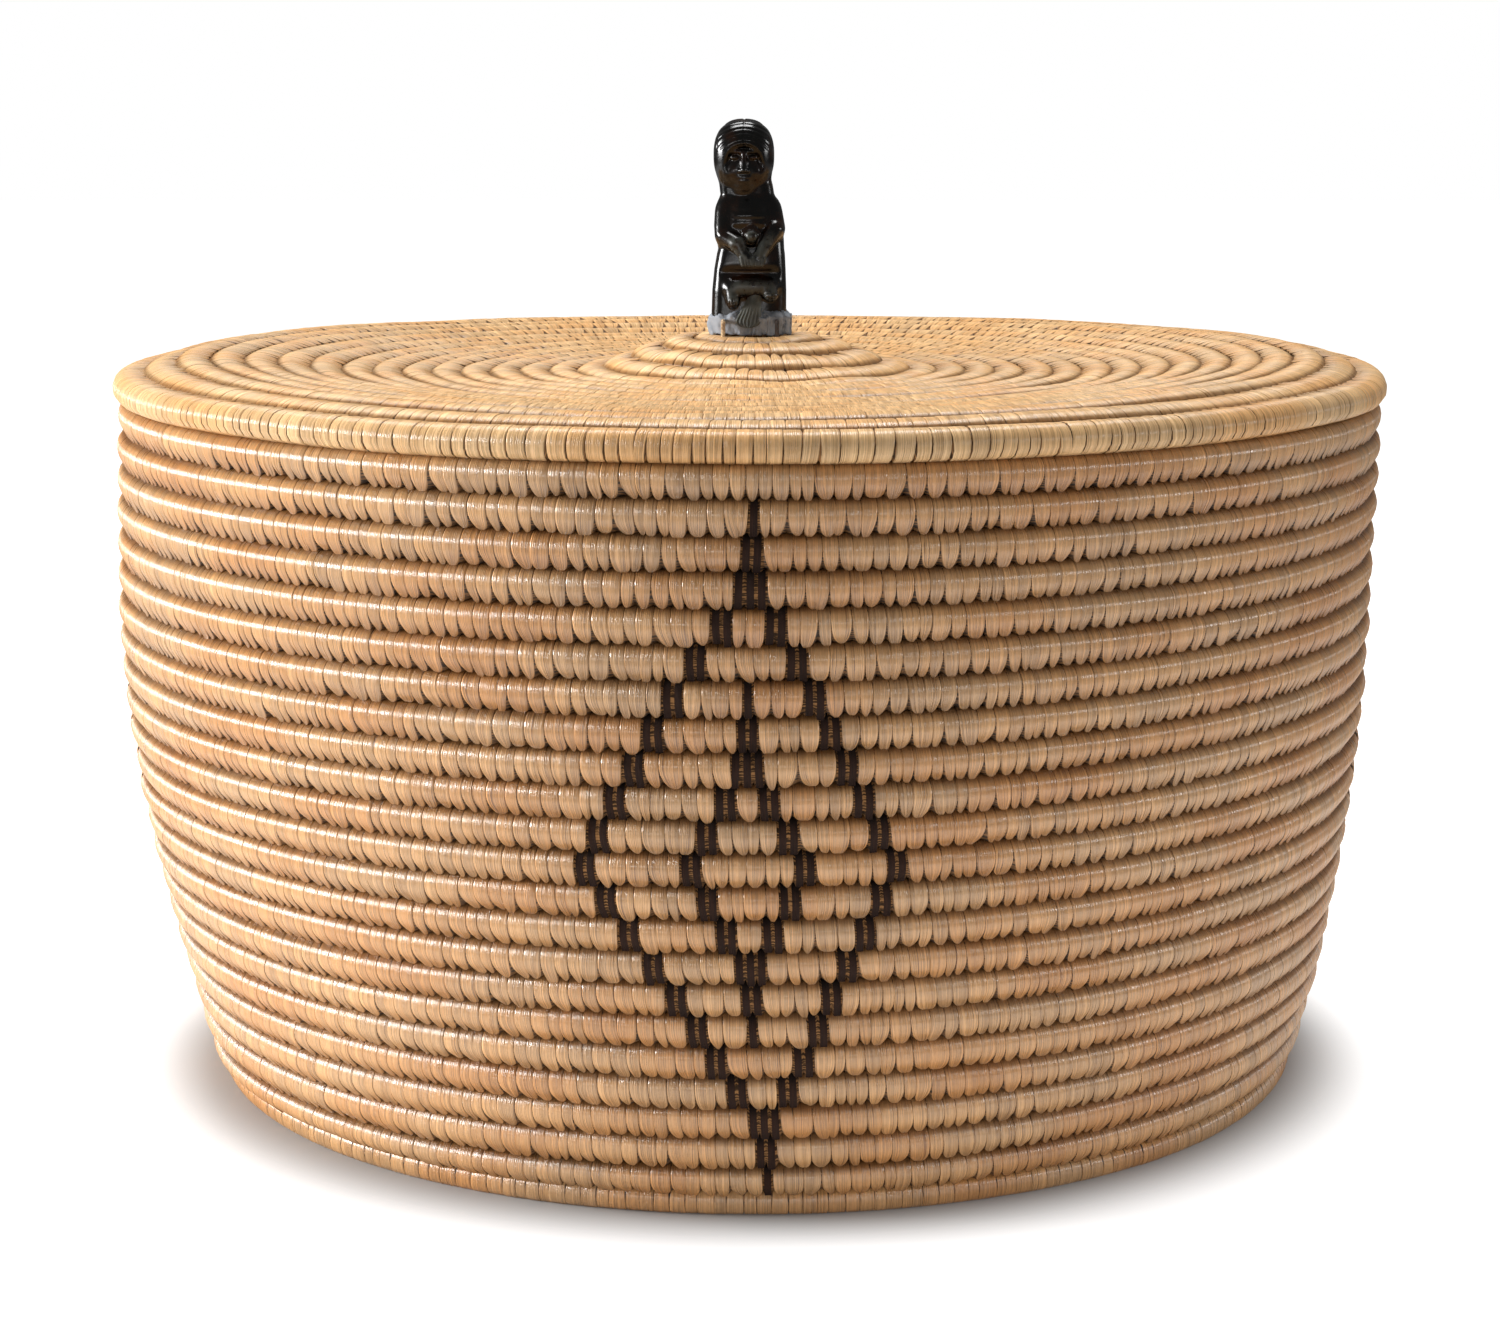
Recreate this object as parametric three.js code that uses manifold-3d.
// Coiled grass basket with a lift-off lid and a carved stone figure on the lid.
// Millimetres, +Z up, ground at z = 0, axis of the basket on Z, front towards -Y.
import * as THREE from 'three';
import { mergeVertices } from 'three/addons/utils/BufferGeometryUtils.js';
import Module from 'manifold-3d';

const wasm = await Module();
wasm.setup();

// Wall of the basket
const BELLY_RADIUS = 175.8;
const FOOT_RADIUS = 155.2;
const MOUTH_DRAW_IN = 0.3;
const MOUTH_RADIUS = BELLY_RADIUS - MOUTH_DRAW_IN;
const BELLY_HEIGHT = 136;
const COURSE_PITCH = 8.25;
const COIL_GAP = 0.75;
const WALL_CURVE_SHARE = 1.83;
const MOUTH_CURVE_SHARE = 2;

// Counts of turns of coil
const WALL_TURNS = 23;
const LID_TURNS = 20;
const STEPS_PER_TURN = 22;
const INNER_STEPS_PER_TURN = 11;
const TAIL_STEPS = 4;
const GAP_STEPS_PER_TURN = 60;
const COIL_SIDES = 5;

// Where the last whole turns end, over how much of a turn the coils climb, and how far the tail of
// a coil runs on over the climbing turn
const WALL_END_DEGREES = -15;
const LID_END_DEGREES = 14;
const LEVEL_TURN_SHARE = 0.18;
const LEVELLED_TURNS = 8;
const TAIL_TURN_SHARE = 0.11;
const TAIL_DEPTH_SHARE = 0.5;

// Lid
const LID_OVERHANG = 0.9;
const LID_RADIUS = MOUTH_RADIUS + LID_OVERHANG;
const LID_START_RADIUS = 8.68;
const LID_SEAT_GAP = 0.4;
const RIM_DROP = 2.1;
const RIM_SLOPE_WIDTH = 15;
const DISH_DEPTH = 3.2;
const DISH_SLOPE_START = 100;
const DISH_SLOPE_WIDTH = 55;
const MOUND_HEIGHT = 9.2;
const MOUND_RADIUS = 50;
const MOUND_TOP_RADIUS = 14;
const FINE_TURNS_RADIUS = 74;

// Locating ring under the lid
const FLANGE_COURSES = 2;
const FLANGE_CLEARANCE = 2.6;
const FLANGE_BEAD_POINTS = 4;

// Running and resting gap between touching pieces
const CLEARANCE = 0.3;

// Stone figure
const FOOT_WIDTH = 23.4;
const FOOT_DEPTH = 21;
const FOOT_HEIGHT = 7.6;
const FOOT_BEVEL = 1.2;
const FIGURE_HEIGHT = 59.4;
const FIGURE_WIDTH = 20.6;
const FIGURE_DEPTH = 15.5;
const HEAD_WIDTH = 16.7;
const HEAD_DEPTH = 15;
const HEAD_HEIGHT = 20.4;
const ARM_RADIUS = 2.7;
const HAND_RADIUS = 2.4;

// Sinew that ties the figure to the lid
const SINEW_RADIUS = 0.6;
const SINEW_SPACING = 15;
const SINEW_HOLE_HEIGHT = 3.8;
const SINEW_BEND_RADIUS = 0.9;
const SINEW_SIDES = 8;
const SINEW_BEND_STEPS = 3;
const KNOT_RADIUS = 1.9;

const FULL_TURN = 2 * Math.PI;
const HALF = 0.5;

// A regular section has its vertices at the coil's reach; its height is less for an odd count
const sideAngle = FULL_TURN / COIL_SIDES;
const sectionHalfHeight = Math.sin(sideAngle);
const sectionInnerReach = Math.cos(HALF * sideAngle);
const coilHeight = COURSE_PITCH - COIL_GAP;
const coilReach = HALF * coilHeight / sectionHalfHeight;

// The lid's turns share out the width between its start and its rim
const lidPitch = (LID_RADIUS + HALF * COIL_GAP - LID_START_RADIUS) / (LID_TURNS + HALF);
const lidCoilReach = HALF * (lidPitch - COIL_GAP) / sectionHalfHeight;

const ringHeight = HALF * coilHeight;
const mouthHeight = ringHeight + (WALL_TURNS - 1) * COURSE_PITCH + ringHeight;
const ringRadius = FOOT_RADIUS - coilReach;

const straw = new THREE.MeshStandardMaterial({ color: 0xd8b078, roughness: 0.6, metalness: 0 });
const strawInside = new THREE.MeshStandardMaterial({ color: 0xc39a64, roughness: 0.7, metalness: 0 });
const stone = new THREE.MeshStandardMaterial({ color: 0x14130f, roughness: 0.2, metalness: 0 });
const sinew = new THREE.MeshStandardMaterial({ color: 0xcdb893, roughness: 0.6, metalness: 0 });

const model = new THREE.Group();

function smooth(value) {
  const share = Math.min(Math.max(value, 0), 1);
  return share * share * (3 - 2 * share);
}

// Turns climbed at a turn count: a steady climb low down, and near the end of the coil each turn
// climbs within its first part and then runs level, so that the finished edge is level
function climb(turn, turns) {
  const whole = Math.min(Math.floor(turn), turns - 1);
  const part = turn - whole;
  const levelled = smooth((whole - (turns - 1 - LEVELLED_TURNS)) / LEVELLED_TURNS);
  return whole + (1 - levelled) * part + levelled * smooth(part / LEVEL_TURN_SHARE);
}

// Size of the coil's section across its course: whole, then as much as the climbing turn leaves
function tailSize(turn, turns, pitch) {
  return 1 - smooth((turn - turns) / LEVEL_TURN_SHARE) * pitch / (pitch - COIL_GAP);
}

// Size of the section through the coil's thickness, which thins less than it does across
function tailDepth(size) {
  return 1 - TAIL_DEPTH_SHARE * (1 - size);
}

// A closed solid from rings of points that all have the same count
function solidFromRings(rings) {
  const sides = rings[0].length;
  const positions = rings.flat().flatMap((point) => point.toArray());
  const faces = [];
  for (let ring = 0; ring < rings.length - 1; ring += 1) {
    for (let side = 0; side < sides; side += 1) {
      const next = (side + 1) % sides;
      const low = ring * sides;
      const high = low + sides;
      faces.push(low + side, low + next, high + next);
      faces.push(low + side, high + next, high + side);
    }
  }
  const last = (rings.length - 1) * sides;
  for (let side = 1; side < sides - 1; side += 1) {
    faces.push(0, side + 1, side);
    faces.push(last, last + side, last + side + 1);
  }
  const geometry = new THREE.BufferGeometry();
  geometry.setAttribute('position', new THREE.Float32BufferAttribute(positions, 3));
  geometry.setIndex(faces);
  geometry.computeVertexNormals();
  return geometry;
}

// Rings of a coil about Z. place(turn) gives radius, height and reach; pointing is the direction
// in the radial plane, as an angle from outwards towards up, of the section's first vertex
function coilRings(turnList, endDegrees, pointing, place) {
  const endAngle = THREE.MathUtils.degToRad(endDegrees);
  return turnList.map((turn) => {
    const { radius, height, reach, tall } = place(turn);
    const around = endAngle + turn * FULL_TURN;
    return Array.from({ length: COIL_SIDES }, (_, side) => {
      const angle = pointing - side * sideAngle;
      const out = radius + reach * Math.cos(angle);
      const up = height + tall * Math.sin(angle);
      return new THREE.Vector3(out * Math.cos(around), out * Math.sin(around), up);
    });
  });
}

// Turn counts from the start to the end of a coil's tail, with fewer steps up to a turn
function turnSteps(turns, fineFrom) {
  const list = [];
  for (let step = 0; step <= turns * STEPS_PER_TURN; step += 1) {
    const coarse = step < fineFrom * STEPS_PER_TURN;
    if (!coarse || step % (STEPS_PER_TURN / INNER_STEPS_PER_TURN) === 0) {
      list.push(step / STEPS_PER_TURN);
    }
  }
  for (let step = 1; step <= TAIL_STEPS; step += 1) {
    list.push(turns + step * TAIL_TURN_SHARE / TAIL_STEPS);
  }
  return list;
}

function segmentDistance(point, start, end) {
  const along = end.clone().sub(start);
  const share = THREE.MathUtils.clamp(point.clone().sub(start).dot(along) / along.lengthSq(), 0, 1);
  return point.distanceTo(start.clone().addScaledVector(along, share));
}

// Least gap between a turn and the next, on points of each section against the next one's sides
function leastGap(place, turns, pointing) {
  let least = Infinity;
  for (let step = 0; step <= (turns - 1 + TAIL_TURN_SHARE) * GAP_STEPS_PER_TURN; step += 1) {
    const turn = step / GAP_STEPS_PER_TURN;
    const sections = [turn, turn + 1].map((count) => {
      const { radius, height, reach, tall } = place(count);
      return Array.from({ length: COIL_SIDES }, (_, side) => {
        const angle = pointing - side * sideAngle;
        return new THREE.Vector2(radius + reach * Math.cos(angle), height + tall * Math.sin(angle));
      });
    });
    for (const [own, other] of [sections, [...sections].reverse()]) {
      for (const point of own) {
        for (let side = 0; side < COIL_SIDES; side += 1) {
          const gap = segmentDistance(point, other[side], other[(side + 1) % COIL_SIDES]);
          least = Math.min(least, gap);
        }
      }
    }
  }
  return least;
}

function addMesh(name, geometry, material) {
  const mesh = new THREE.Mesh(geometry, material);
  mesh.name = name;
  model.add(mesh);
  return mesh;
}

function toManifold(geometry) {
  const plain = geometry.clone();
  plain.deleteAttribute('normal');
  plain.deleteAttribute('uv');
  const merged = mergeVertices(plain);
  const vertProperties = new Float32Array(merged.attributes.position.array);
  const triVerts = new Uint32Array(merged.index.array);
  return new wasm.Manifold(new wasm.Mesh({ numProp: 3, vertProperties, triVerts }));
}

function fromManifold(solid) {
  const mesh = solid.getMesh();
  const geometry = new THREE.BufferGeometry();
  geometry.setAttribute('position', new THREE.Float32BufferAttribute(mesh.vertProperties, 3));
  geometry.setIndex(Array.from(mesh.triVerts));
  geometry.computeVertexNormals();
  return geometry;
}

// Outer radius of the wall at a height: it swells from the foot to the belly and draws in a little
// to the mouth
function wallRadius(height) {
  if (height < BELLY_HEIGHT) {
    const below = Math.min((BELLY_HEIGHT - height) / (BELLY_HEIGHT - ringHeight), 1);
    return BELLY_RADIUS - (BELLY_RADIUS - FOOT_RADIUS) * below ** WALL_CURVE_SHARE;
  }
  const above = (height - BELLY_HEIGHT) / (mouthHeight - BELLY_HEIGHT);
  return BELLY_RADIUS - (BELLY_RADIUS - MOUTH_RADIUS) * above ** MOUTH_CURVE_SHARE;
}

function wallHeight(turn) {
  return ringHeight + Math.max(climb(turn, WALL_TURNS) - 1, 0) * COURSE_PITCH;
}

// The wall's coil: its first turn lies flat and winds outwards round the base, the second rolls up
// over the first, and the rest climb the wall
function wallPlace(turn) {
  const size = tailSize(turn, WALL_TURNS, COURSE_PITCH);
  const height = wallHeight(turn) + (1 - size) * ringHeight;
  const above = Math.min(turn + 1, WALL_TURNS);
  const room = HALF * (wallHeight(above) - wallHeight(Math.max(above - 2, 1)));
  const stretch = turn > 2 ? Math.max(room / COURSE_PITCH, 1) : 1;
  const tall = size * coilReach * (stretch + (stretch - 1) * COIL_GAP / coilHeight);
  const reach = tailDepth(size) * coilReach;
  if (turn <= 1) {
    return { radius: ringRadius - (1 - turn) * COURSE_PITCH, height, reach, tall };
  }
  const wall = wallRadius(height) - reach;
  if (turn >= 2) {
    return { radius: wall, height, reach, tall };
  }
  const rolled = turn - 1;
  const inner = ringRadius - (1 - rolled) * COURSE_PITCH;
  const roll = COURSE_PITCH * Math.sqrt(1 - rolled ** 2);
  return { radius: inner + roll + rolled * (wall - ringRadius), height, reach, tall };
}

function addWallCoil() {
  const rings = coilRings(turnSteps(WALL_TURNS, 0), WALL_END_DEGREES, 0, wallPlace);
  addMesh('wall_coil', solidFromRings(rings), straw);
  console.log('least gap in wall_coil', leastGap(wallPlace, WALL_TURNS, 0).toFixed(2));
}

// The base fills the spiral that the wall's first turn leaves, with a step where that turn starts
function addBase() {
  const endAngle = THREE.MathUtils.degToRad(WALL_END_DEGREES);
  const outline = [];
  for (let step = 0; step <= STEPS_PER_TURN; step += 1) {
    const turn = step / STEPS_PER_TURN;
    const { radius } = wallPlace(turn);
    const edge = radius - sectionInnerReach * coilReach - CLEARANCE;
    const stepGap = step === STEPS_PER_TURN ? CLEARANCE / edge : 0;
    const around = endAngle + turn * FULL_TURN - stepGap;
    outline.push(new THREE.Vector2(edge * Math.cos(around), edge * Math.sin(around)));
  }
  const geometry = new THREE.ExtrudeGeometry(new THREE.Shape(outline), {
    depth: coilHeight,
    bevelEnabled: false,
  });
  addMesh('base_coil', geometry, strawInside);
}

const lidRimRadius = LID_RADIUS - HALF * (lidPitch - COIL_GAP);
const lidRimHeight = mouthHeight + LID_SEAT_GAP + lidCoilReach * sectionInnerReach;
const lidDishHeight = lidRimHeight + RIM_DROP - DISH_DEPTH;

// Height of the lid coil's middle at a radius: a drooping rim, a shallow dish and a mound
function lidHeight(radius) {
  const rim = RIM_DROP * smooth((radius - (lidRimRadius - RIM_SLOPE_WIDTH)) / RIM_SLOPE_WIDTH);
  const dish = DISH_DEPTH * smooth((radius - DISH_SLOPE_START) / DISH_SLOPE_WIDTH);
  const mound = MOUND_HEIGHT * smooth((MOUND_RADIUS - radius) / (MOUND_RADIUS - MOUND_TOP_RADIUS));
  return lidDishHeight + dish + mound - rim;
}

function lidPlace(turn) {
  const size = tailSize(turn, LID_TURNS, lidPitch);
  const radius = LID_START_RADIUS + climb(turn, LID_TURNS) * lidPitch;
  return {
    radius: radius + (1 - size) * HALF * (lidPitch - COIL_GAP),
    height: lidHeight(radius),
    reach: size * lidCoilReach,
    tall: tailDepth(size) * lidCoilReach,
  };
}

const lidTopHeight = lidHeight(LID_START_RADIUS) + lidCoilReach;
const lidUnderHeight = lidHeight(LID_START_RADIUS) - lidCoilReach * sectionInnerReach;
const sinewLegReach = HALF * FOOT_DEPTH + CLEARANCE + SINEW_RADIUS;
const upwards = HALF * Math.PI;

// Upright holes where the sinew passes down through the lid
function awlHoles() {
  const radius = SINEW_RADIUS + CLEARANCE;
  const length = 2 * (lidTopHeight - lidUnderHeight);
  const holes = [];
  for (const side of [-1, 1]) {
    for (const face of [-1, 1]) {
      const hole = new THREE.CylinderGeometry(radius, radius, length, SINEW_SIDES);
      hole.rotateX(HALF * Math.PI);
      hole.translate(side * HALF * SINEW_SPACING, face * sinewLegReach, lidHeight(LID_START_RADIUS));
      holes.push(toManifold(hole));
    }
  }
  return holes;
}

function addLidCoil() {
  const fineFrom = Math.floor((FINE_TURNS_RADIUS - LID_START_RADIUS) / lidPitch);
  const rings = coilRings(turnSteps(LID_TURNS, fineFrom), LID_END_DEGREES, upwards, lidPlace);
  let coil = toManifold(solidFromRings(rings));
  for (const hole of awlHoles()) {
    coil = coil.subtract(hole);
  }
  addMesh('lid_coil', fromManifold(coil), straw);
  console.log('least gap in lid_coil', leastGap(lidPlace, LID_TURNS, upwards).toFixed(2));
}

// The knotted bundle that the lid's coil starts round
function addLidStart() {
  const radius = LID_START_RADIUS - HALF * (lidPitch - COIL_GAP) - CLEARANCE;
  const button = new THREE.SphereGeometry(radius, INNER_STEPS_PER_TURN, COIL_SIDES);
  button.rotateX(HALF * Math.PI);
  button.scale(1, 1, lidCoilReach / radius);
  button.translate(0, 0, lidHeight(LID_START_RADIUS) - CLEARANCE);
  addMesh('lid_start_button', button, straw);
}

// Two courses of coil under the lid that stand inside the mouth
const flangeOuterRadius = MOUTH_RADIUS - coilReach - coilReach * sectionInnerReach - FLANGE_CLEARANCE;
const flangeMiddleRadius = flangeOuterRadius - HALF * coilHeight;
const flangeLidHeight = Math.min(lidHeight(flangeMiddleRadius), lidHeight(flangeOuterRadius));
const flangeTopHeight = flangeLidHeight - lidCoilReach * sectionInnerReach - CLEARANCE;

function addFlange() {
  const bead = HALF * coilHeight;
  const profile = [];
  for (const [from, order] of [[-upwards, 1], [upwards, -1]]) {
    for (let course = 0; course < FLANGE_COURSES; course += 1) {
      const rank = order > 0 ? FLANGE_COURSES - 1 - course : course;
      const middle = flangeTopHeight - bead - rank * COURSE_PITCH;
      for (let point = 0; point < FLANGE_BEAD_POINTS; point += 1) {
        const share = (point + HALF) / FLANGE_BEAD_POINTS;
        const angle = from + share * Math.PI;
        profile.push(new THREE.Vector2(
          flangeMiddleRadius + bead * Math.cos(angle),
          middle + bead * Math.sin(angle),
        ));
      }
    }
  }
  profile.push(profile[0].clone());
  const ring = new THREE.LatheGeometry(profile, 2 * STEPS_PER_TURN);
  ring.rotateX(HALF * Math.PI);
  addMesh('lid_flange_coil', ring, strawInside);
}

// Points round and rows of points on rounded forms
const FINE_ROUNDS = [20, 14];
const PLAIN_ROUNDS = [14, 10];
const SMALL_ROUNDS = [10, 8];

// Ellipsoid placed by its middle and half sizes
function ellipsoid(middle, halfSizes, rounds) {
  const shape = new THREE.SphereGeometry(1, ...rounds);
  shape.rotateX(HALF * Math.PI);
  shape.scale(...halfSizes);
  shape.translate(...middle);
  return shape;
}

const LIMB_END_ROWS = 3;
const LIMB_SIDES = 8;

// Limb with round ends between two points
function limb(start, end, radius) {
  const from = new THREE.Vector3(...start);
  const to = new THREE.Vector3(...end);
  const along = to.clone().sub(from);
  const shape = new THREE.CapsuleGeometry(radius, along.length(), LIMB_END_ROWS, LIMB_SIDES);
  const turn = new THREE.Quaternion().setFromUnitVectors(new THREE.Vector3(0, 1, 0), along.normalize());
  shape.applyQuaternion(turn);
  const middle = from.add(to).multiplyScalar(HALF);
  shape.translate(middle.x, middle.y, middle.z);
  return shape;
}

// Rough foot that the figure was left standing on, with knocked-off corners
const FOOT_OUTLINE_SHARES = [
  [-0.5, -0.18], [-0.4, -0.42], [-0.12, -0.5], [0.3, -0.48], [0.47, -0.3],
  [0.5, 0.2], [0.36, 0.46], [-0.1, 0.5], [-0.42, 0.42],
];

function footBlock() {
  const outline = FOOT_OUTLINE_SHARES.map(([across, deep]) => new THREE.Vector2(
    across * (FOOT_WIDTH - 2 * FOOT_BEVEL),
    deep * (FOOT_DEPTH - 2 * FOOT_BEVEL),
  ));
  const block = new THREE.ExtrudeGeometry(new THREE.Shape(outline), {
    depth: FOOT_HEIGHT - 2 * FOOT_BEVEL,
    bevelThickness: FOOT_BEVEL,
    bevelSize: FOOT_BEVEL,
    bevelSegments: 1,
  });
  block.translate(0, 0, FOOT_BEVEL);
  return block;
}

// Body of the figure in the round: half widths and half depths, as shares, at shares of its height
const BODY_SECTION_SHARES = [
  [0.08, 1.0, 1.0], [0.2, 0.98, 1.02], [0.33, 0.94, 0.98], [0.44, 0.9, 0.86],
  [0.52, 0.93, 0.8], [0.6, 0.94, 0.78], [0.66, 0.86, 0.74], [0.7, 0.7, 0.68],
];
const BODY_SIDES = 20;
const BODY_SQUARENESS_SHARE = 0.75;

function figureBody() {
  const rings = BODY_SECTION_SHARES.map(([high, wide, deep]) => (
    Array.from({ length: BODY_SIDES }, (_, side) => {
      const angle = side * FULL_TURN / BODY_SIDES;
      const across = Math.sign(Math.cos(angle)) * Math.abs(Math.cos(angle)) ** BODY_SQUARENESS_SHARE;
      const back = Math.sign(Math.sin(angle)) * Math.abs(Math.sin(angle)) ** BODY_SQUARENESS_SHARE;
      return new THREE.Vector3(
        HALF * wide * FIGURE_WIDTH * across,
        HALF * deep * FIGURE_DEPTH * back,
        high * FIGURE_HEIGHT,
      );
    })
  ));
  return solidFromRings(rings);
}

// Places and half sizes of the figure's forms: across, out and up, as shares of its width, depth
// and height
const HAIR_SHARES = { place: [0, 0.135, 0.66], size: [0.43, 0.406, 0.27] };
const LAP_SHARES = { place: [0, -0.31, 0.26], size: [0.38, 0.34, 0.075] };
const BOSS_SHARES = { place: [0.02, -0.475, 0.47], size: [0.15, 0.16, 0.05] };
const SHOULDER_SHARES = [0.335, 0, 0.62];
const ELBOW_SHARES = [0.44, -0.275, 0.42];
const WRIST_SHARES = [0.13, -0.55, 0.36];
const HAND_SHARES = [0.1, -0.56, 0.36];
const KNEE_SHARES = [0.3, -0.2, 0.2];
const TOE_SHARES = [0.27, -0.55, 0.135];

// Thickness of the forearms and shins and width of the hands, as shares of the arm and the hand
const FOREARM_SHARE = 0.8;
const SHIN_SHARE = 1.1;
const HAND_WIDTH_SHARE = 0.8;

function figurePlace([across, out, up], side = 1) {
  return [side * across * FIGURE_WIDTH, out * FIGURE_DEPTH, up * FIGURE_HEIGHT];
}

function figureForm({ place, size }) {
  return ellipsoid(figurePlace(place), figurePlace(size), PLAIN_ROUNDS);
}

function finialShapes() {
  const headMiddle = [0, 0, FIGURE_HEIGHT - HALF * HEAD_HEIGHT];
  const headSize = [HALF * HEAD_WIDTH, HALF * HEAD_DEPTH, HALF * HEAD_HEIGHT];
  const shapes = [footBlock(), figureBody(), ellipsoid(headMiddle, headSize, FINE_ROUNDS)];
  for (const form of [HAIR_SHARES, LAP_SHARES, BOSS_SHARES]) {
    shapes.push(figureForm(form));
  }
  const handSize = [HAND_WIDTH_SHARE * HAND_RADIUS, HAND_RADIUS, HAND_RADIUS];
  for (const side of [-1, 1]) {
    const elbow = figurePlace(ELBOW_SHARES, side);
    shapes.push(limb(figurePlace(SHOULDER_SHARES, side), elbow, ARM_RADIUS));
    shapes.push(limb(elbow, figurePlace(WRIST_SHARES, side), FOREARM_SHARE * ARM_RADIUS));
    shapes.push(ellipsoid(figurePlace(HAND_SHARES, side), handSize, SMALL_ROUNDS));
    // legs folded to the front, with a foot each side of the wedge
    const knee = figurePlace(KNEE_SHARES, side);
    shapes.push(limb(knee, figurePlace(TOE_SHARES, side), SHIN_SHARE * HAND_RADIUS));
  }
  shapes.push(wedge());
  return shapes;
}

// Fan-shaped wedge between the feet, with a ribbed lower edge
const WEDGE_TOP_WIDTH = 5;
const WEDGE_FOOT_WIDTH = 8;
const WEDGE_HEIGHT = 12.5;
const WEDGE_DEPTH = 5.5;
const WEDGE_RIBS = 5;
const WEDGE_RIB_DEPTH = 0.7;

function wedge() {
  const outline = [new THREE.Vector2(HALF * WEDGE_TOP_WIDTH, WEDGE_HEIGHT)];
  outline.push(new THREE.Vector2(-HALF * WEDGE_TOP_WIDTH, WEDGE_HEIGHT));
  for (let point = 0; point <= 2 * WEDGE_RIBS; point += 1) {
    const across = (point / (2 * WEDGE_RIBS) - HALF) * WEDGE_FOOT_WIDTH;
    outline.push(new THREE.Vector2(across, point % 2 ? 0 : WEDGE_RIB_DEPTH));
  }
  const fan = new THREE.ExtrudeGeometry(new THREE.Shape(outline), {
    depth: WEDGE_DEPTH,
    bevelEnabled: false,
  });
  fan.rotateX(HALF * Math.PI);
  fan.translate(0, -HALF * FIGURE_DEPTH + HALF * WEDGE_DEPTH, HALF * FOOT_HEIGHT);
  return fan;
}

const finialHeight = lidTopHeight + CLEARANCE;

function drilledHoles() {
  const radius = SINEW_RADIUS + CLEARANCE;
  return [-1, 1].map((side) => {
    const hole = new THREE.CylinderGeometry(radius, radius, 2 * FOOT_DEPTH, SINEW_SIDES);
    hole.translate(side * HALF * SINEW_SPACING, 0, SINEW_HOLE_HEIGHT);
    return toManifold(hole);
  });
}

function addFinial() {
  let figure = null;
  for (const shape of finialShapes()) {
    const solid = toManifold(shape);
    figure = figure ? figure.add(solid) : solid;
  }
  for (const hole of drilledHoles()) {
    figure = figure.subtract(hole);
  }
  const mesh = addMesh('finial_figure', fromManifold(figure), stone);
  mesh.position.z = finialHeight;
}

// A path with its corners rounded, in the plane across X
function roundedPath(corners, radius) {
  const points = [corners[0]];
  for (let index = 1; index < corners.length - 1; index += 1) {
    const corner = corners[index];
    const before = corner.clone().add(
      corners[index - 1].clone().sub(corner).setLength(radius),
    );
    const after = corner.clone().add(
      corners[index + 1].clone().sub(corner).setLength(radius),
    );
    const bend = new THREE.QuadraticBezierCurve(before, corner, after);
    points.push(...bend.getPoints(SINEW_BEND_STEPS));
  }
  points.push(corners[corners.length - 1]);
  return points;
}

// Sinew: up through the lid, through the drilled foot, and down through the lid again
function sinewTie(across) {
  const under = lidUnderHeight - CLEARANCE - SINEW_RADIUS;
  const hole = finialHeight + SINEW_HOLE_HEIGHT;
  const end = KNOT_RADIUS + CLEARANCE;
  const corners = [
    new THREE.Vector2(-end, under),
    new THREE.Vector2(-sinewLegReach, under),
    new THREE.Vector2(-sinewLegReach, hole),
    new THREE.Vector2(sinewLegReach, hole),
    new THREE.Vector2(sinewLegReach, under),
    new THREE.Vector2(end, under),
  ];
  const points = roundedPath(corners, SINEW_BEND_RADIUS);
  const rings = points.map((point, index) => {
    const before = points[Math.max(index - 1, 0)];
    const after = points[Math.min(index + 1, points.length - 1)];
    const along = after.clone().sub(before).normalize();
    return Array.from({ length: SINEW_SIDES }, (_, side) => {
      const angle = -side * FULL_TURN / SINEW_SIDES;
      const aside = SINEW_RADIUS * Math.sin(angle);
      return new THREE.Vector3(
        across + SINEW_RADIUS * Math.cos(angle),
        point.x - aside * along.y,
        point.y + aside * along.x,
      );
    });
  });
  return solidFromRings(rings);
}

function addTies() {
  const under = lidUnderHeight - CLEARANCE - KNOT_RADIUS;
  const knotSize = [KNOT_RADIUS, KNOT_RADIUS, KNOT_RADIUS];
  for (const [name, side] of [['left', -1], ['right', 1]]) {
    const across = side * HALF * SINEW_SPACING;
    addMesh(`sinew_tie_${name}`, sinewTie(across), sinew);
    const knot = ellipsoid([across, 0, under], knotSize, SMALL_ROUNDS);
    addMesh(`sinew_knot_${name}`, knot, sinew);
  }
}

addWallCoil();
addBase();
addLidCoil();
addLidStart();
addFlange();
addFinial();
addTies();

export default model;
